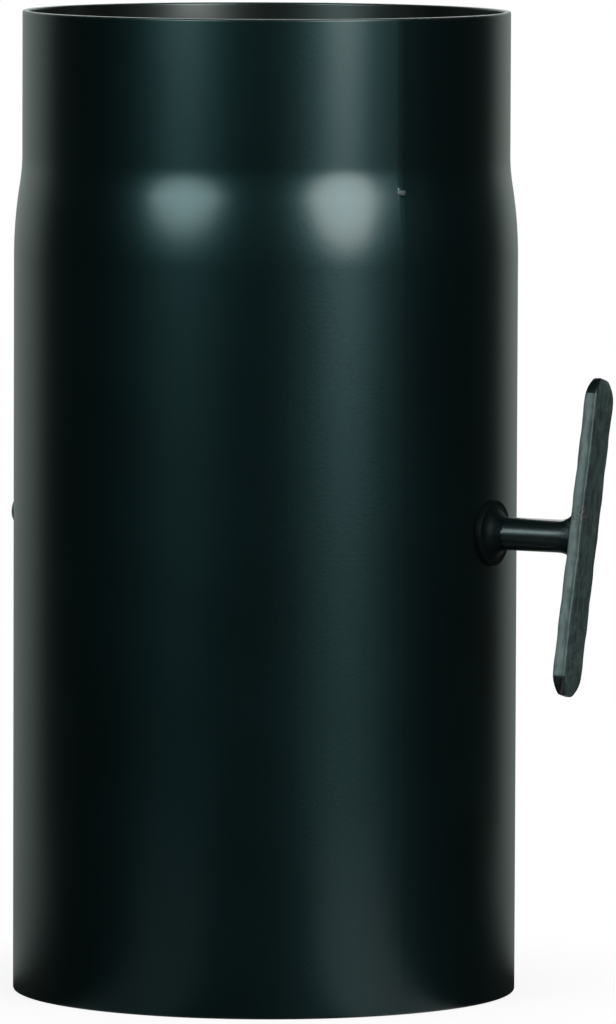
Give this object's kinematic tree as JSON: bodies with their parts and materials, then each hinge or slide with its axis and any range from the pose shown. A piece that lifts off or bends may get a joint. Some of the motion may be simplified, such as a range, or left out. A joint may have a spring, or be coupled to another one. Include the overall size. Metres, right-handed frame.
{
  "type": "stove pipe damper",
  "caption": "Sheet-steel stove pipe with a swaged neck and, inside it, a damper plate on a spindle that a T handle turns to set the draught.",
  "frame": {"origin": "on the pipe's axis, in the plane of its lower end", "axes": "+Z along the pipe towards the reduced neck, +X along the spindle towards the handle"},
  "size_m": [0.1982, 0.154, 0.3],
  "materials": {
    "pipe_paint": "semi-matt black heat-proof paint",
    "handle_paint": "semi-matt black heat-proof paint over hand-finished bar",
    "plate_steel": "dark mill-scale steel",
    "zinc_steel": "dull zinc plate"
  },
  "bodies": {
    "pipe_body": {"pipe": "pipe_paint"},
    "damper": {"spindle": "handle_paint", "handle_bar": "handle_paint", "handle_weld": "handle_paint", "thrust_washer": "handle_paint", "thrust_weld": "handle_paint", "spring_washer": "zinc_steel", "end_washer": "zinc_steel", "split_pin": "zinc_steel", "damper_plate": "plate_steel", "far_saddle": "plate_steel", "near_saddle": "plate_steel", "clamp_screw_1": "zinc_steel", "clamp_nut_1": "zinc_steel", "lock_nut_1": "zinc_steel", "clamp_screw_2": "zinc_steel", "clamp_nut_2": "zinc_steel", "lock_nut_2": "zinc_steel", "clamp_screw_3": "zinc_steel", "clamp_nut_3": "zinc_steel", "lock_nut_3": "zinc_steel", "clamp_screw_4": "zinc_steel", "clamp_nut_4": "zinc_steel", "lock_nut_4": "zinc_steel"}
  },
  "joints": [
    {"name": "damper_turn", "type": "hinge", "parent": "pipe_body", "child": "damper", "pos_m": [0, 0, 0.1435], "axis": [1, 0, 0], "continuous": true}
  ]
}
